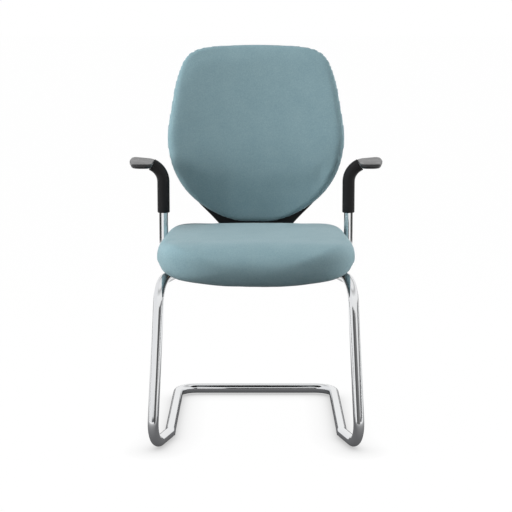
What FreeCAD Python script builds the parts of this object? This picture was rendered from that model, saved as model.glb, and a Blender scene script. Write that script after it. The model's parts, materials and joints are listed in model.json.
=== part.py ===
# Cantilever conference chair: bent chromed tube frame, upholstered seat and back, black armrests.
# Units are millimetres. The origin is on the floor under the middle of the chair.
# +Z is up, the chair faces -Y, and +X is to the right in a view of its front.
import FreeCAD, Part
import math
import os
from FreeCAD import Vector

# Frame tube
frame_depth = 603.0
tube_diameter = 25.0
tube_wall = 2.0
foot_half_span = 238.4
leg_top_half_span = 222.0
leg_lean_back = 62.0
toe_in_angle = 14.5
runner_half_span = 204.0
rail_height = 390.0
rail_end_y = 140.0
foot_bend_radius = 50.0
toe_bend_radius = 60.0
rear_bend_radius = 50.0
seat_bend_radius = 57.0

# Sprung bend of the frame, where the legs yield under a sitter
spring_height_over_bend = 6.0
knuckle_radius = 14.0
knuckle_gap = 0.3

# Floor glides
glide_floor = 3.0
glide_length = 46.0
glide_width = 20.0
glide_wrap = 5.0
glide_from_toe = 50.0
glide_from_rear = 85.0
glide_peg_diameter = 7.0
glide_peg_length = 5.0

# Cross plates and rail plugs
plate_thickness = 4.0
plate_width = 44.0
plate_overhang = 6.0
front_plate_y = -125.0
rear_plate_y = 84.0
weld_gap = 0.1
plug_cap = 3.0
plug_spigot = 14.0

# Seat
seat_front_y = -298.0
seat_rear_y = 170.0
seat_widest_y = -120.0
seat_half_width = 231.0
seat_rear_taper = 0.104
seat_front_power = 3.0
seat_rear_power = 9.0
seat_top_height = 475.5
seat_top_crown = 2.0
seat_underside_height = 408.0
seat_underside_crown = 1.5
seat_edge_height = 434.0
seat_lip_height = 383.0
seat_lip_smile = 15.0
seat_nose_length = 84.0
seat_nose_height = 424.0
seat_lip_back = 26.0
seat_lip_rise = 85.0
seat_rear_roll = 18.0
seat_side_run = 19.0
seat_rear_side_run = 11.0
seat_lower_run = 25.0
seat_tip_run_share = 0.35
seat_tip_crown = 0.3
seat_front_steps = (0.6, 4.0, 12.0, 26.0, 45.0, 70.0, 105.0, 150.0)
seat_middle_steps = (210.0, 270.0, 330.0, 385.0)
seat_rear_steps = (50.0, 32.0, 20.0, 12.0, 7.0, 3.5, 1.0)

# Seat pan and board under the cushion
pan_thickness = 3.0
board_thickness = 10.0
board_front_y = -190.0
board_rear_y = 136.0
board_front_half = 182.0
board_rear_half = 156.0
board_corner = 28.0
board_clearance = 0.5

# Upholstery
cover_thickness = 1.5
layer_gap = 0.3
foam_gap = 1.0
largest_run_share = 0.5
largest_sink_share = 0.3
largest_smile_share = 0.7

# Fasteners
bolt_diameter = 6.0
bolt_hole_diameter = 6.6
bolt_head_diameter = 10.5
bolt_head_height = 3.3
bolt_head_round = 0.6
bolt_socket_size = 4.0
bolt_socket_depth = 2.0
tee_flange_diameter = 18.0
tee_flange_thickness = 1.5
tee_barrel_diameter = 8.0
tee_clearance = 0.2
seat_bolt_half_span = 105.0
bracket_bolt_half_span = 20.0

# Back cushion, panel and rear shell
back_top_height = 919.0
back_bottom_height = 477.5
back_widest_height = 698.5
back_half_width = 220.5
back_top_taper = 27.0
back_lower_power = 2.15
back_upper_power = 5.0
lumbar_height = 600.0
lumbar_front_y = 148.0
lumbar_softness = 90.0
back_recline = 16.0
back_tuck = 20.0
back_face_radius = 850.0
back_edge_roll = 14.0
back_edge_run = 14.0
back_edge_rear_run = 5.0
back_tip_run_share = 0.4
back_tip_front_share = 0.5
back_tip_rear_share = 0.15
back_tip_inset_share = 0.3
back_edge_share = 0.6
back_lower_shares = (0.007, 0.023, 0.05, 0.09, 0.154, 0.244, 0.371, 0.534, 0.747)
back_upper_shares = (0.68, 0.476, 0.317, 0.2, 0.122, 0.068, 0.034, 0.0136, 0.0045)
panel_plane_y = 190.0
panel_bend_height = 620.0
panel_softness = 80.0
panel_recline = 12.5
panel_radius = 600.0
panel_thickness = 4.0
panel_inset = 4.0
panel_edge_run = 1.2
panel_bottom_height = 412.0
panel_top_drop = 6.0
neck_half_width = 72.0
neck_flare_height = 453.0
neck_flare_softness = 20.0
neck_join_height = 528.0
shell_wall = 3.0
shell_depth = 18.0
shell_rim_depth = 8.0
shell_edge_run = 26.0
shell_bottom_height = 388.0
shell_edge_share = 0.3
shell_rim_share = 0.4
panel_lower_shares = (0.07, 0.142, 0.18, 0.219, 0.264, 0.316, 0.37, 0.425, 0.506, 0.602, 0.721, 0.86, 1.0)
panel_upper_shares = (0.671, 0.466, 0.308, 0.186, 0.107, 0.051, 0.019, 0.0)
panel_level_margin = 10.0

# Back bracket
bracket_thickness = 6.0
bracket_width = 68.0
bracket_front_y = 54.0
bracket_top_height = 606.0
bracket_bend_radius = 10.0
bracket_corner = 12.0
bracket_relief = 0.2
back_bolt_half_span = 20.0
back_bolt_from_top = 26.0
back_bolt_spacing = 60.0
back_boss_diameter = 15.0
back_boss_height = 6.0

# Shell screws
screw_diameter = 4.0
screw_head_diameter = 8.0
screw_head_height = 2.5
screw_post_diameter = 11.0
screw_clearance = 0.15
screw_bite = 3.0
lower_screw_half_span = 112.0
lower_screw_height = 640.0
upper_screw_half_span = 100.0
upper_screw_from_top = 89.0

# Armrests
arm_y = 94.0
arm_tube_diameter = 22.0
arm_tube_wall = 2.0
arm_seat_gap = 7.0
arm_low_bend_radius = 34.0
arm_top_angle = 60.0
arm_top_bend_radius = 46.0
arm_end_run = 6.0
sleeve_bottom_height = 512.0
sleeve_wall = 4.0
sleeve_fit = 0.3
pad_width = 59.0
pad_front_width = 45.0
pad_thickness = 11.0
pad_top_height = 640.0
pad_front_y = -40.0
pad_widest_y = 70.0
pad_rear_y = 172.0
pad_inner_rear_y = 114.0
pad_corner = 19.0
pad_bow_radius = 150.0
pad_edge = 4.0
pad_from_upright = 22.5
pad_over_corner = 29.0
insert_thickness = 3.0
insert_width = 28.0
insert_margin = 16.0

# Worked-out values
tube_radius = tube_diameter / 2
arm_radius = arm_tube_diameter / 2
sleeve_bore = arm_radius + sleeve_fit
sleeve_radius = sleeve_bore + sleeve_wall
floor_line = glide_floor + tube_radius
toe_in = math.radians(toe_in_angle)
plate_bottom = rail_height + tube_radius + weld_gap
plate_top = plate_bottom + plate_thickness
board_bottom = plate_top + pan_thickness
board_top = board_bottom + board_thickness
back_bolt_heights = (bracket_top_height - back_bolt_from_top - back_bolt_spacing,
                     bracket_top_height - back_bolt_from_top)
upper_screw_height = back_top_height - upper_screw_from_top
arm_corner_height = pad_top_height - pad_over_corner
back_upper_span = back_top_height - back_widest_height
pieces = {}


def mirrored(shape):
    """The same shape on the other side of the chair."""
    return shape.mirror(Vector(0, 0, 0), Vector(1, 0, 0))


def add(name, shape):
    """Keep one named piece."""
    pieces[name] = shape


def corner_arc(before, corner, after, radius):
    """The start, middle and end of the arc that rounds one corner of a path."""
    back = (before - corner).normalize()
    ahead = (after - corner).normalize()
    half = back.getAngle(ahead) / 2
    reach = radius / math.tan(half)
    middle = (back + ahead).normalize()
    centre = corner + middle * (radius / math.sin(half))
    return corner + back * reach, centre - middle * radius, corner + ahead * reach


def rounded_path(corners, radii):
    """A wire of straight runs joined by tangent arcs; radii are those of the inner corners."""
    edges = []
    last = corners[0]
    for index, radius in enumerate(radii, start=1):
        start, middle, end = corner_arc(corners[index - 1], corners[index], corners[index + 1], radius)
        edges.append(Part.LineSegment(last, start).toShape())
        edges.append(Part.Arc(start, middle, end).toShape())
        last = end
    edges.append(Part.LineSegment(last, corners[-1]).toShape())
    return Part.Wire(edges)


def rod(corners, radii, radius):
    """A solid round bar along a rounded path."""
    path = rounded_path(corners, radii)
    direction = corners[1] - corners[0]
    ring = Part.Wire(Part.makeCircle(radius, corners[0], direction))
    return path.makePipeShell([ring], True, False)


def tube(corners, radii, radius, wall):
    """A hollow tube along a rounded path."""
    return rod(corners, radii, radius).cut(rod(corners, radii, radius - wall))


def cylinder(radius, length, base, direction):
    """A round bar from a base point."""
    return Part.makeCylinder(radius, length, base, direction)


def block(x_range, y_range, z_range):
    """A box between two corners."""
    size = [high - low for low, high in (x_range, y_range, z_range)]
    return Part.makeBox(*size, Vector(x_range[0], y_range[0], z_range[0]))


def rounded_plate(points, radii, z_low, z_high):
    """A flat plate with a rounded outline, given its corners in the XY plane."""
    count = len(points)
    flat = [Vector(x, y, z_low) for x, y in points]
    edges = []
    arcs = [corner_arc(flat[i - 1], flat[i], flat[(i + 1) % count], radii[i]) for i in range(count)]
    for index, (start, middle, end) in enumerate(arcs):
        edges.append(Part.Arc(start, middle, end).toShape())
        edges.append(Part.LineSegment(end, arcs[(index + 1) % count][0]).toShape())
    return Part.Face(Part.Wire(edges)).extrude(Vector(0, 0, z_high - z_low))


def button_bolt(seat, direction, grip):
    """A button-head bolt whose head rests on a seat point and whose shank runs along a direction."""
    head = cylinder(bolt_head_diameter / 2, bolt_head_height, seat - direction * bolt_head_height, direction)
    outer = head.Edges[0]
    for edge in head.Edges:
        far = (edge.CenterOfMass - seat).Length
        if len(edge.Vertexes) == 1 and far > bolt_head_height / 2:
            outer = edge
    head = head.makeFillet(bolt_head_height * bolt_head_round, [outer])
    shank = cylinder(bolt_diameter / 2, grip, seat, direction)
    side = direction.cross(Vector(1, 0, 0))
    if side.Length < 0.5:
        side = direction.cross(Vector(0, 1, 0))
    other = direction.cross(side)
    reach = bolt_socket_size / math.sqrt(3)
    base = seat - direction * bolt_head_height
    rim = []
    for step in range(7):
        turn = math.radians(60 * step)
        rim.append(base + side * (reach * math.cos(turn)) + other * (reach * math.sin(turn)))
    socket = Part.Face(Part.makePolygon(rim)).extrude(direction * bolt_socket_depth)
    return head.fuse(shank).removeSplitter().cut(socket)


def rounded_section(place, half, high, low, high_sag, low_sag, edge, high_run, low_run):
    """A closed outline of six arcs: a high face, a low face and a rolled edge each side.

    place turns the outline's own (across, height) into a point; sag is how far a face falls at its ends.
    """
    high_end = high - high_sag
    low_end = low + low_sag
    bulge = math.sqrt(0.5)
    wide_high = half - high_run
    wide_low = half - low_run
    upper = (wide_high + high_run * bulge, edge + (high_end - edge) * bulge)
    lower = (wide_low + low_run * bulge, edge + (low_end - edge) * bulge)
    ring = [(-wide_high, high_end), (0, high), (wide_high, high_end), upper, (half, edge), lower]
    ring += [(wide_low, low_end), (0, low), (-wide_low, low_end), (-lower[0], lower[1]), (-half, edge)]
    ring += [(-upper[0], upper[1]), (-wide_high, high_end)]
    points = [place(across, height) for across, height in ring]
    edges = [Part.Arc(points[i], points[i + 1], points[i + 2]).toShape() for i in range(0, 12, 2)]
    return Part.Wire(edges)


def dome(reach):
    """How full a rolled end is at a share of its length from the tip: 0 at the tip, 1 at its root."""
    share = min(max(reach, 0.0), 1.0)
    return math.sqrt(1 - (1 - share) ** 2)


def ease(share):
    """A smooth step from 0 to 1."""
    share = min(max(share, 0.0), 1.0)
    return share * share * (3 - 2 * share)


# Frame route, from the right rail's rear end down to the floor and back to the crossbar
def frame_corners():
    """The corners of the right half of the frame tube, with the foot set at the front of the frame."""
    slope = math.tan(toe_in)
    foot = Vector(foot_half_span, 0, floor_line)
    top = Vector(leg_top_half_span, leg_lean_back, rail_height)
    toe = Vector(runner_half_span, (foot_half_span - runner_half_span) / slope, floor_line)
    ends = corner_arc(top, foot, toe, foot_bend_radius)
    front = Part.Arc(*ends).toShape().BoundBox.YMin
    shift = Vector(0, tube_radius - frame_depth / 2 - front, 0)
    foot, top, toe = foot + shift, top + shift, toe + shift
    rail_end = Vector(top.x - (rail_end_y - top.y) * slope, rail_end_y, rail_height)
    rear = Vector(runner_half_span, frame_depth / 2 - tube_radius, floor_line)
    return rail_end, top, foot, toe, rear


rail_end, leg_top, foot, toe, rear_corner = frame_corners()
leg_direction = (leg_top - foot).normalize()
bend_start = corner_arc(leg_top, foot, toe, foot_bend_radius)[0]
spring_share = (bend_start.z + spring_height_over_bend - foot.z) / (leg_top.z - foot.z)
spring_point = foot + (leg_top - foot) * spring_share


def rail_half_span(y):
    """Half the distance between the seat rails at a place along them."""
    return leg_top.x - (y - leg_top.y) * math.tan(toe_in)


def knuckle(radius):
    """A round bar across the chair on the axis where the frame yields."""
    reach = foot_half_span + tube_diameter
    base = Vector(-reach, spring_point.y, spring_point.z)
    return cylinder(radius, 2 * reach, base, Vector(1, 0, 0))


def half_space(z_low, z_high):
    """A block over the whole plan between two heights."""
    reach = frame_depth
    return block((-reach, reach), (-reach, reach), (z_low, z_high))


def glide_places():
    """The name and centre of each glide on the runners."""
    front_y = toe.y + glide_from_toe
    rear_y = rear_corner.y - glide_from_rear
    for end, y in (("front", front_y), ("rear", rear_y)):
        for side, x in (("left", -runner_half_span), ("right", runner_half_span)):
            yield f"glide_{end}_{side}", Vector(x, y, 0)


def make_frame():
    """The floor frame, the two leg tubes with their seat rails, the plugs and the glides."""
    above = spring_point + leg_direction * (2 * knuckle_radius)
    right = [above, foot, toe, rear_corner]
    left = [Vector(-point.x, point.y, point.z) for point in reversed(right)]
    radii = [foot_bend_radius, toe_bend_radius, rear_bend_radius]
    floor_tube = tube(right + left, radii + list(reversed(radii)), tube_radius, tube_wall)
    over = half_space(spring_point.z, spring_point.z + 4 * knuckle_radius).cut(knuckle(knuckle_radius))
    floor_tube = floor_tube.cut(over)

    below = spring_point - leg_direction * knuckle_radius
    leg = tube([rail_end, leg_top, below], [seat_bend_radius], tube_radius, tube_wall)
    leg = leg.cut(half_space(0, spring_point.z)).cut(knuckle(knuckle_radius + knuckle_gap))
    add("leg_rail_right", leg)
    add("leg_rail_left", mirrored(leg))

    back = Vector(-math.sin(toe_in), math.cos(toe_in), 0)
    spigot_radius = tube_radius - tube_wall - layer_gap / 2
    plug = cylinder(tube_radius, plug_cap, rail_end, back)
    plug = plug.fuse(cylinder(spigot_radius, plug_spigot, rail_end - back * plug_spigot, back))
    plug = plug.removeSplitter()
    add("rail_plug_right", plug)
    add("rail_plug_left", mirrored(plug))

    for name, centre in glide_places():
        add(name, glide(centre))
        hole_radius = glide_peg_diameter / 2 + layer_gap
        floor_tube = floor_tube.cut(cylinder(hole_radius, floor_line, centre, Vector(0, 0, 1)))
    add("floor_frame", floor_tube)


def glide(centre):
    """One glide: a saddle under the runner with a flat sole and a peg into the tube."""
    half = glide_width / 2
    top = glide_floor + glide_wrap
    ends = glide_length / 2
    sole = block((centre.x - half, centre.x + half), (centre.y - ends, centre.y + ends), (0, top))
    corners = [edge for edge in sole.Edges if abs(edge.tangentAt(edge.FirstParameter).z) > 0.9]
    sole = sole.makeFillet(half * 0.5, corners)
    base = Vector(centre.x, centre.y - glide_length, floor_line)
    sole = sole.cut(cylinder(tube_radius + layer_gap / 2, 2 * glide_length, base, Vector(0, 1, 0)))
    peg_base = Vector(centre.x, centre.y, glide_floor / 2)
    peg = cylinder(glide_peg_diameter / 2, glide_floor / 2 + glide_peg_length, peg_base, Vector(0, 0, 1))
    return sole.fuse(peg).removeSplitter()


# Seat
def seat_half(y):
    """Half the seat's width at its widest level, at a place from front to rear."""
    if y < seat_widest_y:
        share = (seat_widest_y - y) / (seat_widest_y - seat_front_y)
        return seat_half_width * (1 - share ** seat_front_power) ** (1 / seat_front_power)
    share = (y - seat_widest_y) / (seat_rear_y - seat_widest_y)
    end = (1 - share ** seat_rear_power) ** (1 / seat_rear_power)
    return seat_half_width * (1 - seat_rear_taper * share) * end


def seat_section(y, inset):
    """The seat's outline across the chair at one place from front to rear, shrunk by an inset."""
    from_front = y - seat_front_y
    to_rear = seat_rear_y - y
    nose = dome(from_front / seat_nose_length)
    top = seat_nose_height + (seat_top_height - seat_nose_height) * nose
    lip = dome(from_front / seat_lip_back)
    bottom = seat_nose_height + (seat_lip_height - seat_nose_height) * lip
    rise = ease((from_front - seat_lip_back) / seat_lip_rise)
    bottom = bottom + (seat_underside_height - seat_lip_height) * rise
    smile = seat_lip_smile * lip * (1 - rise) + seat_underside_crown
    edge = seat_nose_height + (seat_edge_height - seat_nose_height) * nose
    roll = dome(to_rear / seat_rear_roll)
    middle = seat_edge_height
    top = middle + (top - middle) * roll
    bottom = middle + (bottom - middle) * roll
    edge = middle + (edge - middle) * roll
    half = seat_half(y) - inset
    full = dome(min(from_front / seat_nose_length, to_rear / seat_rear_roll))
    past_widest = max(y - seat_widest_y, 0) / (seat_rear_y - seat_widest_y)
    side_run = seat_side_run + (seat_rear_side_run - seat_side_run) * past_widest
    run_share = seat_tip_run_share + (1 - seat_tip_run_share) * full
    side_run = min(side_run * run_share, half * largest_run_share)
    lower_run = min(seat_lower_run * run_share, half * largest_run_share)
    crown = seat_top_crown * full + seat_tip_crown
    depth = seat_rear_y - seat_front_y
    centre_y = (seat_front_y + seat_rear_y) / 2
    placed_y = centre_y + (y - centre_y) * (1 - 2 * inset / depth)
    sink = min(inset, (top - bottom) * largest_sink_share)
    smile = min(smile, (edge - bottom) * largest_smile_share)

    def place(across, height):
        return Vector(across, placed_y, height)

    return rounded_section(place, half, top - sink, bottom + sink, crown, smile, edge, side_run, lower_run)


def seat_form(inset):
    """The seat cushion's outside, or a layer of it that lies an inset further in."""
    places = [seat_front_y + step for step in seat_front_steps + seat_middle_steps]
    places += [seat_rear_y - step for step in seat_rear_steps]
    return Part.makeLoft([seat_section(y, inset) for y in places], True, False)


def board_outline(grow, z_low, z_high):
    """A flat plate of the seat board's outline, grown all round."""
    front, rear = board_front_half + grow, board_rear_half + grow
    y_front, y_rear = board_front_y - grow, board_rear_y + grow
    points = [(-front, y_front), (front, y_front), (rear, y_rear), (-rear, y_rear)]
    return rounded_plate(points, [board_corner + grow] * 4, z_low, z_high)


def seat_bolt_places():
    """Where the seat's own bolts go, front and rear."""
    for y, half in ((front_plate_y, seat_bolt_half_span), (rear_plate_y, seat_bolt_half_span)):
        for side in (-1, 1):
            yield Vector(side * half, y, plate_bottom)


def bracket_bolt_places():
    """Where the bolts through the back bracket go."""
    for side in (-1, 1):
        yield Vector(side * bracket_bolt_half_span, rear_plate_y, plate_bottom - bracket_thickness)


def drill(shape, places, diameter):
    """The shape with upright round holes right through it."""
    for place in places:
        base = Vector(place.x, place.y, 0)
        shape = shape.cut(cylinder(diameter / 2, back_top_height, base, Vector(0, 0, 1)))
    return shape


def cross_plate(y):
    """A flat bar across the two seat rails."""
    half = rail_half_span(y) + plate_overhang
    ends = plate_width / 2
    points = [(-half, y - ends), (half, y - ends), (half, y + ends), (-half, y + ends)]
    return rounded_plate(points, [plate_overhang] * 4, plate_bottom, plate_top)


def make_seat():
    """The cross plates, pan, board, fasteners, foam and cover of the seat."""
    up = Vector(0, 0, 1)
    plain = list(seat_bolt_places())
    through = list(bracket_bolt_places())
    places = plain + through
    for name, y in (("front_cross_plate", front_plate_y), ("rear_cross_plate", rear_plate_y)):
        add(name, drill(cross_plate(y), places, bolt_hole_diameter))
    add("seat_pan", drill(board_outline(0, plate_top, board_bottom), places, bolt_hole_diameter))
    barrel_hole = tee_barrel_diameter + 2 * tee_clearance
    add("seat_board", drill(board_outline(0, board_bottom, board_top), places, barrel_hole))

    tee_nuts = []
    for place in places:
        centre = Vector(place.x, place.y, board_bottom)
        barrel = cylinder(tee_barrel_diameter / 2, board_thickness, centre, up)
        flange_base = centre + up * board_thickness
        flange = cylinder(tee_flange_diameter / 2, tee_flange_thickness, flange_base, up)
        tee_nuts.append(drill(barrel.fuse(flange).removeSplitter(), [place], bolt_hole_diameter))
    add("seat_tee_nuts", Part.makeCompound(tee_nuts))
    grip = board_top - plate_bottom
    add("seat_bolts", Part.makeCompound([button_bolt(place, up, grip) for place in plain]))
    long_grip = grip + bracket_thickness
    add("bracket_bolts", Part.makeCompound([button_bolt(place, up, long_grip) for place in through]))

    pocket = board_outline(board_clearance, seat_lip_height, board_top + layer_gap)
    recesses = []
    for place in places:
        base = Vector(place.x, place.y, board_top)
        radius = tee_flange_diameter / 2 + layer_gap
        recesses.append(cylinder(radius, tee_flange_thickness + layer_gap, base, up))
    add("seat_foam", seat_form(cover_thickness + foam_gap).cut(pocket.fuse(recesses)))
    add("seat_cover", seat_form(0).cut(seat_form(cover_thickness)).cut(pocket))


# Back
def back_half(z):
    """Half the back cushion's width at a height."""
    if z < back_widest_height:
        share = (back_widest_height - z) / (back_widest_height - back_bottom_height)
        return back_half_width * (1 - share ** back_lower_power) ** (1 / back_lower_power)
    share = (z - back_widest_height) / back_upper_span
    end = (1 - share ** back_upper_power) ** (1 / back_upper_power)
    return (back_half_width - back_top_taper * share) * end


def bowed(rise, softness, angle):
    """A curve that starts level and straightens out to a slope."""
    return math.tan(math.radians(angle)) * (math.hypot(rise, softness) - softness)


def back_front_y(z):
    """The middle of the back's front face at a height: nearest the sitter at the lumbar."""
    angle = back_recline if z > lumbar_height else back_tuck
    return lumbar_front_y + bowed(z - lumbar_height, lumbar_softness, angle)


def panel_rear_y(z):
    """The middle of the back panel's rear face at a height: upright below, reclined above."""
    return panel_plane_y + bowed(max(z - panel_bend_height, 0), panel_softness, panel_recline)


def neck_half(z):
    """Half the width of the neck that carries the back, flaring upwards."""
    rise = z - neck_flare_height
    return neck_half_width + (math.hypot(rise, neck_flare_softness) + rise) / 2


def panel_half(z):
    """Half the width of the back panel and shell: the neck below, just inside the cushion above."""
    if z < neck_join_height:
        return neck_half(z)
    return min(neck_half(z), back_half(z) - panel_inset)


def sag(half, radius):
    """How far a shallow arc of a radius falls at half its chord."""
    return half * half / (2 * radius)


def back_section(z, inset, rear_past):
    """The back cushion's level outline at a height, shrunk by an inset; rear_past moves its rear face."""
    to_end = min(z - back_bottom_height, back_top_height - z)
    full = dome(to_end / back_edge_roll)
    front = back_front_y(z)
    rear = panel_rear_y(z) - panel_thickness - foam_gap
    thickness = rear - front
    inset_share = back_tip_inset_share + (1 - back_tip_inset_share) * full
    front = front + thickness * back_tip_front_share * (1 - full) + inset * inset_share
    rear = rear - thickness * back_tip_rear_share * (1 - full) + rear_past
    half = back_half(z) - inset
    run_share = back_tip_run_share + (1 - back_tip_run_share) * full
    run = min(back_edge_run * run_share, half * largest_run_share)
    rear_run = min(back_edge_rear_run, half * largest_run_share)
    front_sag = sag(half - run, back_face_radius)
    rear_sag = sag(half - rear_run, panel_radius)
    front_end = front - front_sag
    rear_end = rear - rear_sag
    edge = front_end + (rear_end - front_end) * back_edge_share
    middle = (back_bottom_height + back_top_height) / 2
    height = back_top_height - back_bottom_height
    placed_z = middle + (z - middle) * (1 - 2 * inset / height)

    def place(across, depth):
        return Vector(across, -depth, placed_z)

    return rounded_section(place, half, -front, -rear, -front_sag, rear_sag, -edge, run, rear_run)


def back_form(inset, rear_past):
    """The back cushion's outside, or a layer of it that lies an inset further in."""
    lower_span = back_widest_height - back_bottom_height
    levels = [back_bottom_height + share * lower_span for share in back_lower_shares] + [back_widest_height]
    levels += [back_top_height - share * back_upper_span for share in back_upper_shares]
    return Part.makeLoft([back_section(z, inset, rear_past) for z in levels], True, False)


def panel_section(z):
    """The back panel's level outline at a height."""
    half = panel_half(z)
    rear = panel_rear_y(z)
    fall = sag(half - panel_edge_run, panel_radius)
    front = rear - panel_thickness
    edge = rear - fall - panel_thickness / 2

    def place(across, depth):
        return Vector(across, -depth, z)

    return rounded_section(place, half, -front, -rear, -fall, fall, -edge, panel_edge_run, panel_edge_run)


def shell_profile(z, inset):
    """The rear shell's half width, rear face, edge roll and the fall of its rear face at a height."""
    full = dome((back_top_height - panel_top_drop - z) / shell_edge_run)
    half = panel_half(z) - inset
    depth = shell_rim_depth + (shell_depth - shell_rim_depth) * full
    rear = panel_rear_y(z) + layer_gap + depth - inset
    run = min(shell_edge_run, half * largest_run_share)
    rim_share = shell_rim_share + (1 - shell_rim_share) * full
    fall = depth - shell_rim_depth * rim_share + sag(half - run, panel_radius)
    return half, rear, run, fall


def shell_rear_y(x, z):
    """The rear shell's outer face at a place across and up."""
    half, rear, run, fall = shell_profile(z, 0)
    return rear - fall * (x / (half - run)) ** 2


def shell_section(z, inset, front_past):
    """The rear shell's level outline at a height, shrunk by an inset; front_past opens its front."""
    half, rear, run, rear_fall = shell_profile(z, inset)
    front = panel_rear_y(z) + layer_gap
    front_fall = sag(half - panel_edge_run, panel_radius)
    front_end = front - front_fall
    edge = front_end + (rear - rear_fall - front_end) * shell_edge_share

    def place(across, deep):
        return Vector(across, -deep, z)

    high = -front + front_past
    return rounded_section(place, half, high, -rear, -front_fall, rear_fall, -edge, panel_edge_run, run)


def panel_levels(bottom, top):
    """The heights of the sections of the panel and shell."""
    lower_span = back_widest_height - shell_bottom_height
    upper_span = top - back_widest_height
    lower = [shell_bottom_height + share * lower_span for share in panel_lower_shares]
    lower = [z for z in lower if z > bottom + panel_level_margin]
    return [bottom] + lower + [top - share * upper_span for share in panel_upper_shares]


def screw_places():
    """Where the shell screws go, across and up."""
    rows = ((lower_screw_half_span, lower_screw_height), (upper_screw_half_span, upper_screw_height))
    for half, z in rows:
        for side in (-1, 1):
            yield side * half, z


def make_back():
    """The bracket, panel, shell, fasteners, foam and cover of the back."""
    rear = Vector(0, 1, 0)
    panel_top = back_top_height - panel_top_drop
    levels = panel_levels(panel_bottom_height, panel_top)
    panel = Part.makeLoft([panel_section(z) for z in levels], True, False)
    add_bracket()
    room_half = bracket_width / 2 + bracket_relief
    room_front = panel_plane_y + layer_gap - bracket_relief
    room_y = (room_front, room_front + 2 * bracket_thickness)
    room_z = (panel_bottom_height, bracket_top_height + bracket_relief)
    panel = panel.cut(block((-room_half, room_half), room_y, room_z))

    bolt_places = [Vector(side * back_bolt_half_span, panel_plane_y, z)
                   for z in back_bolt_heights for side in (-1, 1)]
    boss_front = panel_plane_y - panel_thickness - back_boss_height
    bolt_grip = panel_thickness + back_boss_height + bracket_thickness
    bolts = []
    pockets = []
    head_seat_y = panel_plane_y + layer_gap + bracket_thickness
    for place in bolt_places:
        base = Vector(place.x, boss_front, place.z)
        panel = panel.fuse(cylinder(back_boss_diameter / 2, back_boss_height + panel_thickness / 2, base, rear))
        panel = panel.cut(cylinder(bolt_hole_diameter / 2, 4 * bolt_grip, base - rear, rear))
        pocket_base = base - rear * layer_gap
        pocket_radius = back_boss_diameter / 2 + layer_gap
        pockets.append(cylinder(pocket_radius, back_boss_height + panel_thickness, pocket_base, rear))
        bolts.append(button_bolt(Vector(place.x, head_seat_y, place.z), rear * -1, bolt_grip))
    add("back_bolts", Part.makeCompound(bolts))

    shell_levels = panel_levels(shell_bottom_height, panel_top)
    outer = Part.makeLoft([shell_section(z, 0, 0) for z in shell_levels], True, False)
    inner_levels = panel_levels(shell_bottom_height - shell_wall, panel_top - shell_wall)
    opening = shell_rim_depth
    inner = Part.makeLoft([shell_section(z, shell_wall, opening) for z in inner_levels], True, False)
    shell = outer.cut(inner)
    screws = []
    for x, z in screw_places():
        post_base = Vector(x, panel_plane_y - shell_depth * 3, z)
        length = shell_depth * 8
        post = cylinder(screw_post_diameter / 2, length, post_base, rear).common(outer)
        shell = shell.fuse(post)
        shell = shell.cut(cylinder(screw_diameter / 2 + screw_clearance, length, post_base, rear))
        panel = panel.cut(cylinder(screw_diameter / 2 + screw_clearance, length, post_base, rear))
        head_base = Vector(x, shell_rear_y(x, z) - 2 * screw_head_height, z)
        shell = shell.cut(cylinder(screw_head_diameter / 2 + screw_clearance, length, head_base, rear))
        screw_start = panel_rear_y(z) - sag(x, panel_radius) - screw_bite
        shank_base = Vector(x, screw_start, z)
        shank = cylinder(screw_diameter / 2, head_base.y - screw_start, shank_base, rear)
        head = cylinder(screw_head_diameter / 2, screw_head_height, head_base, rear)
        screws.append(shank.fuse(head).removeSplitter())
    add("back_shell", shell)
    add("back_shell_screws", Part.makeCompound(screws))
    add("back_panel", panel)

    foam = back_form(cover_thickness + foam_gap, -foam_gap)
    for pocket in pockets:
        foam = foam.cut(pocket)
    add("back_foam", foam)
    add("back_cover", back_form(0, 0).cut(back_form(cover_thickness, 2 * cover_thickness)))


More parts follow.
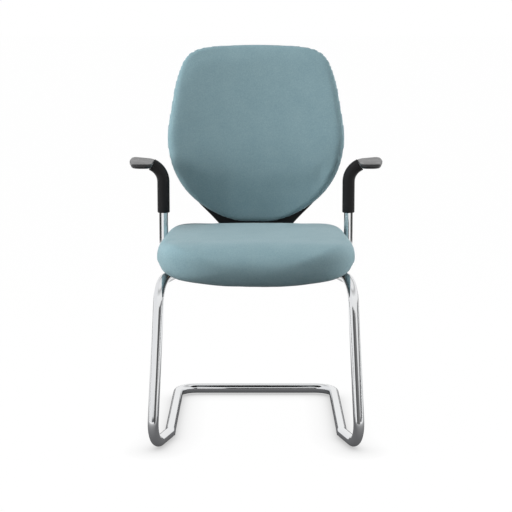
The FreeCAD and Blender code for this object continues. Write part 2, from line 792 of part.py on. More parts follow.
def add_bracket():
    """The bent steel bracket from under the seat up behind the back panel."""
    half = bracket_width / 2
    top = plate_bottom
    front_face = panel_plane_y + layer_gap
    rear_face = front_face + bracket_thickness
    low = top - bracket_thickness
    outer_radius = bracket_bend_radius + bracket_thickness
    inner_start = Vector(-half, front_face - bracket_bend_radius, top)
    turn = math.sqrt(0.5)
    centre = Vector(-half, front_face - bracket_bend_radius, top + bracket_bend_radius)
    inner_middle = centre + Vector(0, turn, -turn) * bracket_bend_radius
    inner_end = Vector(-half, front_face, top + bracket_bend_radius)
    outer_start = Vector(-half, rear_face, top + bracket_bend_radius)
    outer_middle = centre + Vector(0, turn, -turn) * outer_radius
    outer_end = Vector(-half, front_face - bracket_bend_radius, low)
    front_top = Vector(-half, bracket_front_y, top)
    front_low = Vector(-half, bracket_front_y, low)
    upper_front = Vector(-half, front_face, bracket_top_height)
    upper_rear = Vector(-half, rear_face, bracket_top_height)
    edges = [
        Part.LineSegment(front_low, front_top).toShape(),
        Part.LineSegment(front_top, inner_start).toShape(),
        Part.Arc(inner_start, inner_middle, inner_end).toShape(),
        Part.LineSegment(inner_end, upper_front).toShape(),
        Part.LineSegment(upper_front, upper_rear).toShape(),
        Part.LineSegment(upper_rear, outer_start).toShape(),
        Part.Arc(outer_start, outer_middle, outer_end).toShape(),
        Part.LineSegment(outer_end, front_low).toShape(),
    ]
    bracket = Part.Face(Part.Wire(edges)).extrude(Vector(bracket_width, 0, 0))
    ends = [edge for edge in bracket.Edges if edge.Length < bracket_thickness * 1.01]
    bracket = bracket.makeFillet(bracket_corner, ends)
    for place in bracket_bolt_places():
        base = Vector(place.x, place.y, low - bracket_thickness)
        bracket = bracket.cut(cylinder(bolt_hole_diameter / 2, 3 * bracket_thickness, base, Vector(0, 0, 1)))
    for z in back_bolt_heights:
        for side in (-1, 1):
            base = Vector(side * back_bolt_half_span, front_face - bracket_thickness, z)
            hole = cylinder(bolt_hole_diameter / 2, 3 * bracket_thickness, base, Vector(0, 1, 0))
            bracket = bracket.cut(hole)
    add("back_bracket", bracket)


# Armrests
def make_arms():
    """The arm tubes, sleeves, pads and the steel inserts in the pads, on both sides."""
    arm_x = seat_half(arm_y) + arm_seat_gap + arm_radius
    rail_x = rail_half_span(arm_y)
    slant = math.radians(90 - arm_top_angle)
    outward = Vector(math.cos(slant), 0, math.sin(slant))
    corner = Vector(arm_x, arm_y, arm_corner_height)
    reach = arm_top_bend_radius * math.tan(math.radians(arm_top_angle) / 2)
    tip = corner + outward * (reach + arm_end_run)
    low = Vector(arm_x, arm_y, rail_height)
    inner = Vector(rail_x, arm_y, rail_height)
    radii = [arm_top_bend_radius, arm_low_bend_radius]
    arm = tube([tip, corner, low, inner], radii, arm_radius, arm_tube_wall)
    rail_line = Vector(-math.sin(toe_in), math.cos(toe_in), 0)
    rail_base = Vector(rail_x, arm_y, rail_height) - rail_line * tube_diameter * 2
    arm = arm.cut(cylinder(tube_radius + weld_gap, tube_diameter * 4, rail_base, rail_line))
    arm = max(arm.Solids, key=lambda solid: solid.Volume)

    sleeve_low = Vector(arm_x, arm_y, sleeve_bottom_height)
    sleeve_path = [tip, corner, sleeve_low]
    sleeve_outer = rod(sleeve_path, [arm_top_bend_radius], sleeve_radius)
    sleeve = sleeve_outer.cut(rod(sleeve_path, [arm_top_bend_radius], sleeve_bore))

    pad_in = arm_x + pad_from_upright
    pad_out = pad_in + pad_width
    pad_low = pad_top_height - pad_thickness
    points = [(pad_in, pad_front_y), (pad_in + pad_front_width, pad_front_y), (pad_out, pad_widest_y)]
    points += [(pad_out, pad_rear_y), (pad_in, pad_inner_rear_y)]
    corners = [pad_corner, pad_corner, pad_bow_radius, pad_corner, pad_corner]
    pad = rounded_plate(points, corners, pad_low, pad_top_height)
    rim = [edge for edge in pad.Edges if abs(edge.BoundBox.ZMax - edge.BoundBox.ZMin) < pad_edge]
    pad = pad.makeFillet(pad_edge, rim)
    over = block((0, 2 * pad_out), (arm_y - pad_width, arm_y + pad_width), (pad_top_height, 2 * pad_top_height))
    sleeve = sleeve.cut(over)
    fit = rod(sleeve_path, [arm_top_bend_radius], sleeve_radius + layer_gap)
    pad = pad.cut(fit)

    insert_middle = (pad_low + pad_top_height) / 2
    insert_z = (insert_middle - insert_thickness / 2, insert_middle + insert_thickness / 2)
    insert_x = (pad_out - insert_margin - insert_width, pad_out - insert_margin)
    insert_y = (pad_front_y + insert_margin * 2, pad_inner_rear_y)
    insert = block(insert_x, insert_y, insert_z)
    room = block(
        (insert_x[0] - layer_gap, insert_x[1] + layer_gap),
        (insert_y[0] - layer_gap, insert_y[1] + layer_gap),
        (insert_z[0] - layer_gap, insert_z[1] + layer_gap),
    )
    insert = insert.cut(fit)
    pad = pad.cut(room)
    for name, shape in (("arm_tube", arm), ("arm_sleeve", sleeve), ("arm_pad", pad), ("arm_insert", insert)):
        add(f"{name}_right", shape)
        add(f"{name}_left", mirrored(shape))


make_frame()
make_seat()
make_back()
make_arms()

os.makedirs("parts", exist_ok=True)
for name, shape in pieces.items():
    shape.exportStep(f"parts/{name}.step")
    box = shape.BoundBox
    solids = len(shape.Solids)
    low = f"{box.XMin:.1f} {box.YMin:.1f} {box.ZMin:.1f}"
    high = f"{box.XMax:.1f} {box.YMax:.1f} {box.ZMax:.1f}"
    print(f"{name:20s} solids {solids} valid {shape.isValid()} volume {shape.Volume:.1f} from {low} to {high}")
print(f"spring axis at y {spring_point.y:.3f} z {spring_point.z:.3f}, leg x {spring_point.x:.3f}")
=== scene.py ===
"""Cantilever conference chair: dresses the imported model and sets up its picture."""
import json
import logging
import math
from dataclasses import dataclass
from enum import Enum
from typing import Sequence

import bmesh
import bpy
from mathutils import Matrix, Vector
from mathutils.bvhtree import BVHTree


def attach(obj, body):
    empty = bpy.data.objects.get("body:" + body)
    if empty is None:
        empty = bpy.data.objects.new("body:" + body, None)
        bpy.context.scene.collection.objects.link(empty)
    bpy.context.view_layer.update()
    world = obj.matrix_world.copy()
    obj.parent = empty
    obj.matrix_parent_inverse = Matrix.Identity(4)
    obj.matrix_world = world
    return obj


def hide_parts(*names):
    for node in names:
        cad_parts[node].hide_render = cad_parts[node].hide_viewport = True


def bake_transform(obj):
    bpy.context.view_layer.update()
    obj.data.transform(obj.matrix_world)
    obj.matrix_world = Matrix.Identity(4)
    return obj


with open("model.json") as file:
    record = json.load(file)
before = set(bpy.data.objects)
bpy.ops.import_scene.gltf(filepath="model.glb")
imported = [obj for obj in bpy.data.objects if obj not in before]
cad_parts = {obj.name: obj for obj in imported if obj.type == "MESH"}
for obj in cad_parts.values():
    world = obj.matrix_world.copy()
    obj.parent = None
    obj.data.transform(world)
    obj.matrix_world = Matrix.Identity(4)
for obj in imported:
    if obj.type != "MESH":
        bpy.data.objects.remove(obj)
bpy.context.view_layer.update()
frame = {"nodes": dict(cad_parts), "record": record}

LOG = logging.getLogger("chair")
Colour = tuple[float, float, float]
Point = tuple[float, float, float]
Span = tuple[float, float]
Socket = bpy.types.NodeSocket
Vert = bmesh.types.BMVert
Edge = bmesh.types.BMEdge
Edges = list[Edge]
WHITE: Colour = (1.0, 1.0, 1.0)


class Body(Enum):
    """The two bodies of the chair."""

    BASE = "base"
    SEAT_UNIT = "seat_unit"


class Side(Enum):
    """The two sides of the chair, as the sign of X."""

    LEFT = -1
    RIGHT = 1

    @property
    def word(self) -> str:
        """The side's name as it ends a node's name."""
        return self.name.lower()


class Slot(Enum):
    """The record's material slots."""

    CHROME = "chrome_tube"
    PLASTIC = "black_plastic"
    GLIDE = "glide_plastic"
    DARK_STEEL = "dark_steel"
    ZINC = "zinc_steel"
    PLYWOOD = "plywood"
    CLOTH = "teal_fabric"
    FOAM = "foam"


@dataclass(frozen=True)
class Noise:
    """A noise pattern: its cells in a metre and its octaves."""

    scale: float
    detail: float = 2.0


class NodeSheet:
    """A node tree, with short ways to add and join nodes."""

    noise_span: Span = (0.3, 0.7)

    def __init__(self, tree: bpy.types.NodeTree) -> None:
        """Take over the node tree of a material or of the world."""
        self.tree = tree

    def add(self, kind: str, **settings: object) -> bpy.types.Node:
        """Add a node and set its own options.

        Args:
            kind: the node's type without its leading ShaderNode.
            settings: the node's options by name.

        Returns:
            The new node.
        """
        node = self.tree.nodes.new("ShaderNode" + kind)
        for option, value in settings.items():
            setattr(node, option, value)
        return node

    def join(self, source: Socket, target: Socket) -> None:
        """Link one socket to another."""
        self.tree.links.new(source, target)

    def feed(self, target: Socket, value: Socket | float) -> None:
        """Link a socket, or set it to a number.

        Args:
            target: the socket that is fed.
            value: another socket, or a number.
        """
        if isinstance(value, Socket):
            self.join(value, target)
        else:
            target.default_value = value

    def places(self) -> Socket:
        """The object's own coordinates."""
        return self.add("TexCoord").outputs["Object"]

    def threads(self) -> Socket:
        """The piece's own UV map, in metres along the cloth."""
        return self.add("TexCoord").outputs["UV"]

    def noise(self, places: Socket, pattern: Noise) -> Socket:
        """Add a noise texture.

        Args:
            places: the coordinates that it reads.
            pattern: its cells and octaves.

        Returns:
            The noise's value.
        """
        node = self.add("TexNoise")
        node.inputs["Scale"].default_value = pattern.scale
        node.inputs["Detail"].default_value = pattern.detail
        self.join(places, node.inputs["Vector"])
        return node.outputs["Fac"]

    def mapped(self, value: Socket, source: Span, target: Span = (0.0, 1.0)) -> Socket:
        """Map a value from one range onto another and hold it at the ends.

        Args:
            value: the socket that is mapped.
            source: the range that it is taken from.
            target: the range of the result.

        Returns:
            The mapped value.
        """
        node = self.add("MapRange")
        for socket, number in zip(("From Min", "From Max", "To Min", "To Max"), (*source, *target)):
            node.inputs[socket].default_value = number
        self.join(value, node.inputs["Value"])
        return node.outputs["Result"]

    def ramp(self, value: Socket, low: float, high: float) -> Socket:
        """Map the range that most of a noise lies in onto another."""
        return self.mapped(value, self.noise_span, (low, high))

    def tones(self, value: Socket, low: Socket | Colour, high: Colour) -> Socket:
        """Blend two colours by a value.

        Args:
            value: the socket that picks the blend.
            low: the colour at 0, or a socket that gives it.
            high: the colour at 1.

        Returns:
            The blended colour.
        """
        node = self.add("Mix", data_type="RGBA")
        first, second = [socket for socket in node.inputs if socket.type == "RGBA"]
        self.feed(first, low if isinstance(low, Socket) else (*low, 1.0))
        second.default_value = (*high, 1.0)
        self.join(value, node.inputs["Factor"])
        return next(socket for socket in node.outputs if socket.type == "RGBA")

    def sums(self, kind: str, first: Socket, second: Socket | float) -> Socket:
        """Add a sum of two values.

        Args:
            kind: the operation, such as ADD or MULTIPLY.
            first: the first value.
            second: another socket, or a number.

        Returns:
            The result.
        """
        node = self.add("Math", operation=kind)
        self.join(first, node.inputs[0])
        self.feed(node.inputs[1], second)
        return node.outputs[0]

    def glow(self, **sources: Socket) -> Socket:
        """Add a shader that gives off light.

        Args:
            sources: what its Color and Strength are linked to.

        Returns:
            The shader.
        """
        node = self.add("Emission")
        for socket, source in sources.items():
            self.join(source, node.inputs[socket])
        return node.outputs["Emission"]

    def either(self, share: Socket | float, first: Socket, second: Socket) -> Socket:
        """Mix two shaders.

        Args:
            share: how much of the second shows.
            first: the first shader.
            second: the second shader.

        Returns:
            The mixed shader.
        """
        node = self.add("MixShader")
        self.feed(node.inputs["Fac"], share)
        self.join(first, node.inputs[1])
        self.join(second, node.inputs[2])
        return node.outputs["Shader"]

    def by_ray(self, plain: Socket, mirrored: Socket, straight: Socket) -> Socket:
        """Pick a shader by the kind of ray that meets it.

        Args:
            plain: the shader that lights the chair.
            mirrored: the shader that polished pieces mirror.
            straight: the shader that the eye sees.

        Returns:
            The picked shader.
        """
        path = self.add("LightPath")
        unseen = self.either(path.outputs["Is Glossy Ray"], plain, mirrored)
        eye = self.sums("MAXIMUM", path.outputs["Is Camera Ray"], path.outputs["Is Transmission Ray"])
        return self.either(eye, unseen, straight)

    def show(self, shader: Socket, output: str) -> None:
        """Send a shader to the output node of that name."""
        self.join(shader, self.tree.nodes[output].inputs["Surface"])


class FinishSheet(NodeSheet):
    """The node tree of a new material that holds one Principled shader."""

    def __init__(self, name: str) -> None:
        """Make the material.

        Args:
            name: the material's name.
        """
        self.material = bpy.data.materials.new(name)
        self.material.use_nodes = True
        super().__init__(self.material.node_tree)
        self.shader = self.tree.nodes["Principled BSDF"]

    def coat(self, **values: object) -> None:
        """Set constant values on the shader, with underscores for the spaces in a socket's name."""
        for socket, value in values.items():
            self.shader.inputs[socket.replace("_", " ")].default_value = value

    def drive(self, **sources: Socket) -> None:
        """Link values to the shader, with underscores for the spaces in a socket's name."""
        for socket, source in sources.items():
            self.join(source, self.shader.inputs[socket.replace("_", " ")])

    def relief(self, height: Socket, strength: float, depth: float) -> None:
        """Give the shader a bump.

        Args:
            height: the relief's height, from 0 to 1.
            strength: how much of it shows.
            depth: the height's real size in metres.
        """
        node = self.add("Bump")
        node.inputs["Strength"].default_value = strength
        node.inputs["Distance"].default_value = depth
        self.join(height, node.inputs["Height"])
        self.drive(Normal=node.outputs["Normal"])


@dataclass(frozen=True)
class ChromeFinish:
    """Polished chrome plating with faint smears."""

    dark: Colour = (0.77, 0.78, 0.79)
    light: Colour = (0.83, 0.84, 0.85)
    roughness: Span = (0.045, 0.085)
    smears: Noise = Noise(26.0, 4.0)
    haze: Noise = Noise(7.0)

    def make(self) -> bpy.types.Material:
        """Build the material.

        Returns:
            The material.
        """
        sheet = FinishSheet("chrome_plating")
        sheet.coat(Metallic=1.0)
        places = sheet.places()
        smears = sheet.noise(places, self.smears)
        haze = sheet.noise(places, self.haze)
        sheet.drive(Base_Color=sheet.tones(haze, self.dark, self.light))
        sheet.drive(Roughness=sheet.ramp(smears, *self.roughness))
        return sheet.material


@dataclass(frozen=True)
class PlasticFinish:
    """Moulded plastic with a fine spark-eroded grain."""

    name: str
    dark: Colour
    light: Colour
    roughness: Span
    gloss: float = 0.22
    clouds: Noise = Noise(22.0, 5.0)
    grain: Noise = Noise(1500.0)
    grain_relief: Span = (0.35, 0.00012)

    def make(self) -> bpy.types.Material:
        """Build the material.

        Returns:
            The material.
        """
        sheet = FinishSheet(self.name)
        sheet.coat(Specular_IOR_Level=self.gloss)
        places = sheet.places()
        clouds = sheet.noise(places, self.clouds)
        grain = sheet.noise(places, self.grain)
        sheet.drive(Base_Color=sheet.tones(clouds, self.dark, self.light))
        sheet.drive(Roughness=sheet.ramp(clouds, *self.roughness))
        sheet.relief(grain, *self.grain_relief)
        return sheet.material


@dataclass(frozen=True)
class SteelFinish:
    """Steel that is painted, or plated and dull."""

    name: str
    dark: Colour
    light: Colour
    roughness: Span
    metallic: float
    speckle: Noise = Noise(420.0, 3.0)
    wear: Noise = Noise(35.0, 4.0)
    speckle_relief: Span = (0.2, 0.00015)

    def make(self) -> bpy.types.Material:
        """Build the material.

        Returns:
            The material.
        """
        sheet = FinishSheet(self.name)
        sheet.coat(Metallic=self.metallic)
        places = sheet.places()
        speckle = sheet.noise(places, self.speckle)
        wear = sheet.noise(places, self.wear)
        sheet.drive(Base_Color=sheet.tones(wear, self.dark, self.light))
        sheet.drive(Roughness=sheet.ramp(speckle, *self.roughness))
        sheet.relief(speckle, *self.speckle_relief)
        return sheet.material


@dataclass(frozen=True)
class RawFinish:
    """Raw plywood or foam: its grain, stretched along each axis, colours it and stands in relief."""

    name: str
    dark: Colour
    light: Colour
    roughness: float
    grain: Noise
    grain_relief: Span
    stretch: Point = (1.0, 1.0, 1.0)

    def make(self) -> bpy.types.Material:
        """Build the material.

        Returns:
            The material.
        """
        sheet = FinishSheet(self.name)
        sheet.coat(Roughness=self.roughness)
        drawn = sheet.add("Mapping")
        drawn.inputs["Scale"].default_value = self.stretch
        sheet.join(sheet.places(), drawn.inputs["Vector"])
        grain = sheet.noise(drawn.outputs["Vector"], self.grain)
        sheet.drive(Base_Color=sheet.tones(grain, self.dark, self.light))
        sheet.relief(grain, *self.grain_relief)
        return sheet.material


@dataclass(frozen=True)
class ClothFinish:
    """Fine matte wool cloth in a plain weave."""

    dark: Colour = (0.160, 0.254, 0.285)
    light: Colour = (0.220, 0.322, 0.352)
    sheen_tint: Colour = (0.97, 0.96, 0.94)
    flecks: Noise = Noise(330.0, 3.0)
    mottle: Noise = Noise(24.0, 3.0)
    fleck_share: float = 0.72
    mottle_share: float = 0.28
    thread: float = 0.0011
    thread_waver: float = 0.4
    fuzz: float = 0.6
    weave_relief: Span = (0.4, 0.00035)

    def make(self) -> bpy.types.Material:
        """Build the material.

        Returns:
            The material.
        """
        sheet = FinishSheet("grey_blue_wool")
        sheet.coat(Roughness=0.66, Sheen_Weight=0.13, Sheen_Roughness=0.4, Specular_IOR_Level=0.3)
        sheet.coat(Sheen_Tint=(*self.sheen_tint, 1.0))
        places = sheet.places()
        flecks = sheet.noise(places, self.flecks)
        mottle = sheet.sums("MULTIPLY", sheet.noise(places, self.mottle), self.mottle_share)
        mixed = sheet.sums("ADD", sheet.sums("MULTIPLY", flecks, self.fleck_share), mottle)
        spread = sheet.ramp(mixed, 0.0, 1.0)
        sheet.drive(Base_Color=sheet.tones(spread, self.dark, self.light))
        weave = sheet.sums("MULTIPLY", self.strand(sheet, "X"), self.strand(sheet, "Y"))
        height = sheet.sums("ADD", weave, sheet.sums("MULTIPLY", flecks, self.fuzz))
        sheet.relief(height, *self.weave_relief)
        return sheet.material

    def strand(self, sheet: FinishSheet, across: str) -> Socket:
        """Add the threads that lie across one direction of the cloth.

        Args:
            sheet: the material that they go into.
            across: the direction, X or Y.

        Returns:
            The threads' height.
        """
        wave = sheet.add("TexWave", wave_type="BANDS", bands_direction=across)
        wave.inputs["Scale"].default_value = math.pi / (10.0 * self.thread)
        wave.inputs["Distortion"].default_value = self.thread_waver
        wave.inputs["Detail Scale"].default_value = 1.0
        sheet.join(sheet.threads(), wave.inputs["Vector"])
        return wave.outputs["Fac"]


class FinishShelf:
    """Every finish of the chair, made once and handed out by slot."""

    black = PlasticFinish("satin_black_plastic", (0.005, 0.005, 0.0055), (0.009, 0.009, 0.0095), (0.36, 0.46))
    glide = PlasticFinish("glide_plastic", (0.03, 0.03, 0.03), (0.06, 0.06, 0.06), (0.55, 0.7))
    skin = PlasticFinish("arm_pad_skin", (0.008, 0.008, 0.0085), (0.014, 0.014, 0.0145), (0.26, 0.34), 0.5)
    painted = SteelFinish(
        "black_painted_steel", (0.012, 0.012, 0.013), (0.03, 0.03, 0.032), (0.4, 0.55), 0.0
    )
    zinc = SteelFinish("zinc_plated_steel", (0.5, 0.5, 0.48), (0.68, 0.68, 0.66), (0.28, 0.45), 1.0)
    plywood = RawFinish(
        "raw_plywood",
        (0.36, 0.23, 0.12),
        (0.66, 0.48, 0.29),
        0.7,
        Noise(1.0, 6.0),
        (0.25, 0.0003),
        (6.0, 90.0, 400.0),
    )
    foam = RawFinish(
        "cushion_foam", (0.58, 0.5, 0.3), (0.8, 0.74, 0.52), 0.95, Noise(600.0, 3.0), (0.5, 0.0005)
    )

    def __init__(self) -> None:
        """Make the materials."""
        self.pad_skin = self.skin.make()
        self.materials = {
            Slot.CHROME: ChromeFinish().make(),
            Slot.PLASTIC: self.black.make(),
            Slot.GLIDE: self.glide.make(),
            Slot.DARK_STEEL: self.painted.make(),
            Slot.ZINC: self.zinc.make(),
            Slot.PLYWOOD: self.plywood.make(),
            Slot.CLOTH: ClothFinish().make(),
            Slot.FOAM: self.foam.make(),
        }

    def dress(self, piece: bpy.types.Object, slot: Slot, own: bpy.types.Material | None = None) -> None:
        """Give a piece the material of a slot, or its own kind of it.

        Args:
            piece: the piece to dress.
            slot: the record's slot.
            own: the material, where it isn't the slot's usual one.
        """
        piece.data.materials.clear()
        piece.data.materials.append(own or self.materials[slot])

    def dress_nodes(self) -> None:
        """Give every CAD node the material of its slot in the record."""
        for part in frame["record"]["subparts"]:
            node = frame["nodes"][part["node"]]
            material = self.materials[Slot(part["material_slot"])]
            if not node.material_slots:
                node.data.materials.append(material)
            for holder in node.material_slots:
                holder.material = material


class Workbench:
    """Steps that the making of several pieces shares."""

    @staticmethod
    def place(name: str, data: bpy.types.ID) -> bpy.types.Object:
        """Put a mesh, a lamp or a camera into the scene.

        Args:
            name: the object's name.
            data: what it holds.

        Returns:
            The new object, at the origin.
        """
        item = bpy.data.objects.new(name, data)
        bpy.context.scene.collection.objects.link(item)
        return item

    @staticmethod
    def finish(bm: bmesh.types.BMesh, name: str, smooth_angle: float | None) -> bpy.types.Object:
        """Make an object of a bmesh, with its faces pointing outwards.

        Args:
            bm: the mesh, which is freed.
            name: the object's name.
            smooth_angle: edges sharper than this many degrees stay sharp; None smooths all.

        Returns:
            The new object.
        """
        bmesh.ops.recalc_face_normals(bm, faces=bm.faces)
        for face in bm.faces:
            face.smooth = True
        if smooth_angle is not None:
            limit = math.radians(smooth_angle)
            for edge in bm.edges:
                edge.smooth = len(edge.link_faces) == 2 and edge.calc_face_angle(math.pi) < limit
        mesh = bpy.data.meshes.new(name)
        bm.to_mesh(mesh)
        bm.free()
        return Workbench.place(name, mesh)

    @staticmethod
    def pick(items: Sequence[object], kind: type) -> list:
        """The vertices or the edges among an operator's results."""
        return [item for item in items if isinstance(item, kind)]

    @staticmethod
    def spin(
        bm: bmesh.types.BMesh, edges: Edges, centre: Vector, axis: Vector, angle: float, steps: int
    ) -> Edges:
        """Carry edges round an axis.

        Args:
            bm: the mesh.
            edges: the edges.
            centre: a point of the axis.
            axis: the axis's direction.
            angle: how far they turn, in radians.
            steps: the number of steps.

        Returns:
            The edges at the end.
        """
        verts = {vert for edge in edges for vert in edge.verts}
        made = bmesh.ops.spin(
            bm,
            geom=[*verts, *edges],
            cent=centre,
            axis=axis.normalized(),
            dvec=(0.0, 0.0, 0.0),
            angle=angle,
            steps=steps,
            use_merge=False,
            use_duplicate=False,
        )
        return Workbench.pick(made["geom_last"], Edge)


@dataclass
class BentTube:
    """A round bar along straight runs and bends, swept ring by ring."""

    corners: Sequence[Vector]
    bends: Sequence[float]
    radius: float
    sides: int = 40
    bend_steps: int = 20
    longest_step: float = 0.025

    def sweep(self, bm: bmesh.types.BMesh) -> tuple[bmesh.types.BMFace, bmesh.types.BMFace]:
        """Add the bar to a bmesh and close both its ends.

        Args:
            bm: the mesh that it goes into.

        Returns:
            The face at its start and the face at its end.
        """
        place = self.corners[0]
        way = (self.corners[1] - place).normalized()
        stand = Matrix.Translation(place) @ way.to_track_quat("Z", "Y").to_matrix().to_4x4()
        made = bmesh.ops.create_circle(
            bm, cap_ends=False, segments=self.sides, radius=self.radius, matrix=stand
        )
        ring = list({edge for vert in made["verts"] for edge in vert.link_edges})
        first = ring
        for index, bend in enumerate(self.bends, start=1):
            corner = self.corners[index]
            back = (self.corners[index - 1] - corner).normalized()
            ahead = (self.corners[index + 1] - corner).normalized()
            half = back.angle(ahead) / 2
            reach = bend / math.tan(half)
            ring = self.run(bm, ring, corner + back * reach - place)
            centre = corner + (back + ahead).normalized() * (bend / math.sin(half))
            axis = (-back).cross(ahead)
            ring = Workbench.spin(bm, ring, centre, axis, math.pi - 2 * half, self.bend_steps)
            place = corner + ahead * reach
        ring = self.run(bm, ring, self.corners[-1] - place)
        return self.close(bm, first), self.close(bm, ring)

    def run(self, bm: bmesh.types.BMesh, ring: Edges, way: Vector) -> Edges:
        """Carry a ring along a straight run.

        Args:
            bm: the mesh.
            ring: the ring's edges.
            way: the run from end to end.

        Returns:
            The edges of the last ring.
        """
        count = max(1, math.ceil(way.length / self.longest_step))
        for _ in range(count):
            made = bmesh.ops.extrude_edge_only(bm, edges=ring)["geom"]
            verts = Workbench.pick(made, Vert)
            bmesh.ops.translate(bm, verts=verts, vec=way / count)
            fresh = set(verts)
            ring = [edge for edge in Workbench.pick(made, Edge) if fresh.issuperset(edge.verts)]
        return ring

    @staticmethod
    def close(bm: bmesh.types.BMesh, ring: Edges) -> bmesh.types.BMFace:
        """Close a ring with one face."""
        return bmesh.ops.edgeloop_fill(bm, edges=ring)["faces"][0]


@dataclass
class FrameTube:
    """The one bent tube that makes the legs, the seat rails and the floor frame."""

    radius: float = 0.0125
    rail_end: Point = (0.124765, 0.140, 0.390)
    leg_top: Point = (0.222, -0.235982, 0.390)
    foot: Point = (0.2384, -0.297982, 0.0155)
    toe: Point = (0.204, -0.164967, 0.0155)
    rear: Point = (0.204, 0.289, 0.0155)
    bends: tuple[float, ...] = (0.057, 0.050, 0.060, 0.050)
    longest_step: float = 0.012
    smooth_angle: float = 50.0
    yields_from: float = 0.03
    yields_to: float = 0.16
    stands_for: tuple[str, ...] = ("floor_frame", "leg_rail_left", "leg_rail_right")

    def build(self, shelf: FinishShelf) -> bpy.types.Object:
        """Sweep the tube from rail end to rail end, rounding each corner into a bend.

        Args:
            shelf: the finishes.

        Returns:
            The tube.
        """
        right = [Vector(point) for point in (self.rail_end, self.leg_top, self.foot, self.toe, self.rear)]
        left = [Vector((-point.x, point.y, point.z)) for point in reversed(right)]
        bm = bmesh.new()
        bends = [*self.bends, *reversed(self.bends)]
        BentTube(right + left, bends, self.radius, longest_step=self.longest_step).sweep(bm)
        piece = Workbench.finish(bm, "frame_tube", self.smooth_angle)
        shelf.dress(piece, Slot.CHROME)
        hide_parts(*self.stands_for)
        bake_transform(piece)
        return piece


